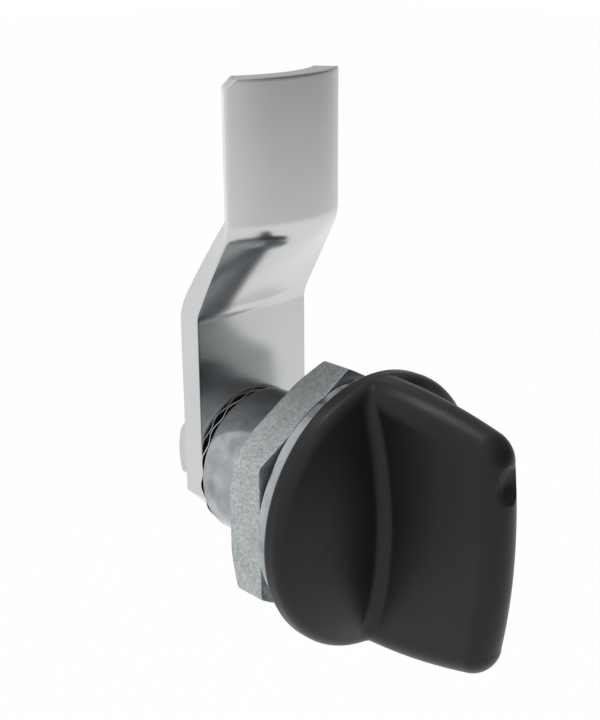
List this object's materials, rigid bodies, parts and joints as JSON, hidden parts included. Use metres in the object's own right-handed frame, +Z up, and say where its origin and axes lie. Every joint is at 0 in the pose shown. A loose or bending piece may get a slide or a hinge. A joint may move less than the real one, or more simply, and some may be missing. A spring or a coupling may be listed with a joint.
{
  "type": "quarter-turn cam latch",
  "caption": "Quarter-turn panel latch: a black wing knob turns a spindle in a round flanged housing, and a cranked, bowed cam plate swings behind the panel.",
  "frame": {"origin": "where the turning axis meets the flange's seat on the front of the panel", "axes": "+Y along the turning axis to the back of the panel, +Z up along the cam at rest, +X to the right as seen from the front"},
  "size_m": [0.0316, 0.0469, 0.0624],
  "materials": {
    "bright_zinc": "bright plated die casting",
    "galvanised_steel": "galvanised, finely speckled",
    "black_knob": "smooth matte black",
    "seal_rubber": "matte",
    "black_spring_steel": "black phosphated",
    "spring_steel": "bright",
    "satin_steel": "satin zinc plated",
    "screw_steel": "zinc plated"
  },
  "bodies": {
    "fixed_body": {"housing": "bright_zinc", "mounting_nut": "galvanised_steel", "wave_washer": "spring_steel"},
    "rotor": {"wing_knob": "black_knob", "spindle": "bright_zinc", "sealing_ring": "seal_rubber", "retaining_ring": "black_spring_steel", "cam": "satin_steel", "lock_washer": "spring_steel", "cam_screw": "screw_steel"}
  },
  "joints": [
    {"name": "quarter_turn", "type": "hinge", "parent": "fixed_body", "child": "rotor", "pos_m": [0, 0, 0], "axis": [0, -1, 0], "range_deg": [0, 90]}
  ]
}
